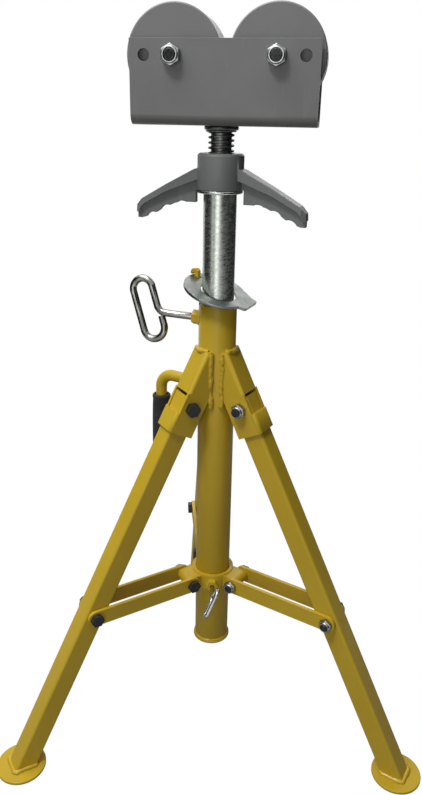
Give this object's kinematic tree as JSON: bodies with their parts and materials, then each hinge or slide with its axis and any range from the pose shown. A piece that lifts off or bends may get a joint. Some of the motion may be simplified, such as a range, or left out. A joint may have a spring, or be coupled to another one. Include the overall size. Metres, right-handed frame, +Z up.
{
  "type": "pipe roller support",
  "caption": "Folding tripod jack stand with a telescoping mast, screw jack with a two-arm handle nut and a saddle head that carries a pipe on steel rollers.",
  "frame": {"origin": "mast axis at floor level, between the feet", "axes": "+Z up along the mast; -Y is the side with the collar's thumb screw; the back leg points close to +Y"},
  "size_m": [0.616, 0.5414, 1.006],
  "materials": {
    "yellow_paint": "semi-gloss enamel",
    "grey_paint": "satin enamel over casting and plate",
    "zinc": "zinc plated",
    "screw_steel": "oiled dark steel",
    "black_steel": "black oxide",
    "roller_steel": "turned steel, painted grey",
    "bronze": "sintered bush",
    "chrome": "bright plated",
    "foam": "foam sleeve"
  },
  "bodies": {
    "mast": {"outer_tube": "yellow_paint", "tube_end": "yellow_paint", "bracket_left": "yellow_paint", "bracket_right": "yellow_paint", "bracket_back": "yellow_paint", "pivot_bolts": "black_steel", "pivot_nuts": "zinc", "hook": "yellow_paint", "lock_boss": "yellow_paint", "carry_rod": "yellow_paint", "carry_grip": "foam"},
    "inner_mast": {"inner_tube": "zinc", "thrust_washer": "zinc"},
    "handle": {"handle_nut": "grey_paint"},
    "head": {"jack_screw": "screw_steel", "screw_flange": "screw_steel", "saddle": "grey_paint", "axle_bolts": "black_steel", "axle_nuts": "zinc", "axle_spacers": "zinc"},
    "roller_left": {"roller_left": "roller_steel", "bush_left": "bronze"},
    "roller_right": {"roller_right": "roller_steel", "bush_right": "bronze"},
    "clamp_plate": {"clamp_plate": "zinc"},
    "lock_screw": {"lock_screw": "chrome"},
    "collar": {"collar": "yellow_paint"},
    "collar_screw": {"collar_screw": "chrome"},
    "leg_left": {"leg_left": "yellow_paint", "foot_left": "yellow_paint", "leg_bush_left": "yellow_paint"},
    "link_left": {"links_left": "yellow_paint", "link_bolts_left": "black_steel", "link_nuts_left": "zinc"},
    "leg_right": {"leg_right": "yellow_paint", "foot_right": "yellow_paint", "leg_bush_right": "yellow_paint"},
    "link_right": {"links_right": "yellow_paint", "link_bolts_right": "black_steel", "link_nuts_right": "zinc"},
    "leg_back": {"leg_back": "yellow_paint", "foot_back": "yellow_paint", "leg_bush_back": "yellow_paint"},
    "link_back": {"links_back": "yellow_paint", "link_bolts_back": "black_steel", "link_nuts_back": "zinc"}
  },
  "joints": [
    {"name": "mast_slide", "type": "slide", "parent": "mast", "child": "inner_mast", "axis": [0, 0, 1], "range_m": [-0.07, 0.2]},
    {"name": "handle_turn", "type": "hinge", "parent": "inner_mast", "child": "handle", "pos_m": [0, 0, 0.82], "axis": [0, 0, 1], "range_deg": [-3600, 1080]},
    {"name": "head_lift", "type": "slide", "parent": "inner_mast", "child": "head", "axis": [0, 0, 1], "range_m": [-0.0181, 0.0601]},
    {"name": "roller_left_spin", "type": "hinge", "parent": "head", "child": "roller_left", "pos_m": [-0.05284, 0.00837, 0.9505], "axis": [0.1564, 0.9877, 0], "continuous": true},
    {"name": "roller_right_spin", "type": "hinge", "parent": "head", "child": "roller_right", "pos_m": [0.06568, -0.0104, 0.9505], "axis": [0.1564, 0.9877, 0], "continuous": true},
    {"name": "clamp_lift", "type": "hinge", "parent": "mast", "child": "clamp_plate", "pos_m": [-0.02823, 0.02727, 0.68429], "axis": [-0.6947, -0.7193, 0], "range_deg": [0, 9]},
    {"name": "lock_turn", "type": "hinge", "parent": "mast", "child": "lock_screw", "pos_m": [-0.05563, 0.02248, 0.634], "axis": [-0.9272, 0.3746, 0], "range_deg": [0, 720]},
    {"name": "leg_left_fold", "type": "hinge", "parent": "mast", "child": "leg_left", "pos_m": [-0.04157, -0.024, 0.52], "axis": [0.5, -0.866, 0], "range_deg": [0, 19]},
    {"name": "leg_right_fold", "type": "hinge", "parent": "mast", "child": "leg_right", "pos_m": [0.04157, -0.024, 0.52], "axis": [0.5, 0.866, 0], "range_deg": [-0.05, 19.05]},
    {"name": "leg_back_fold", "type": "hinge", "parent": "mast", "child": "leg_back", "pos_m": [-0.0046, 0.04778, 0.52], "axis": [-0.9954, -0.0958, 0], "range_deg": [-0.05, 19.05]},
    {"name": "collar_slide", "type": "slide", "parent": "mast", "child": "collar", "axis": [0, 0, 1], "range_m": [-0.0005, 0.10789]},
    {"name": "collar_screw_turn", "type": "hinge", "parent": "collar", "child": "collar_screw", "pos_m": [0, -0.05, 0.233], "axis": [0, -1, 0], "range_deg": [0, 720]},
    {"name": "link_left_swing", "type": "hinge", "parent": "collar", "child": "link_left", "pos_m": [-0.0381, -0.022, 0.235], "axis": [0.5, -0.866, 0], "range_deg": [-0.1, 69.31]},
    {"name": "link_right_swing", "type": "hinge", "parent": "collar", "child": "link_right", "pos_m": [0.0381, -0.022, 0.235], "axis": [0.5, 0.866, 0], "range_deg": [-0.1, 69.31]},
    {"name": "link_back_swing", "type": "hinge", "parent": "collar", "child": "link_back", "pos_m": [-0.00422, 0.0438, 0.235], "axis": [-0.9954, -0.0958, 0], "range_deg": [-0.1, 69.31]}
  ],
  "couplings": [
    {"joint": "head_lift", "follows": "handle_turn", "m_per_rad": -0.00095493},
    {"joint": "leg_right_fold", "follows": "leg_left_fold", "ratio": 1},
    {"joint": "leg_back_fold", "follows": "leg_left_fold", "ratio": 1},
    {"joint": "collar_slide", "follows": "leg_left_fold", "m_per_rad": 0.32383},
    {"joint": "link_left_swing", "follows": "leg_left_fold", "ratio": 3.6426},
    {"joint": "link_right_swing", "follows": "leg_left_fold", "ratio": 3.6426},
    {"joint": "link_back_swing", "follows": "leg_left_fold", "ratio": 3.6426}
  ]
}
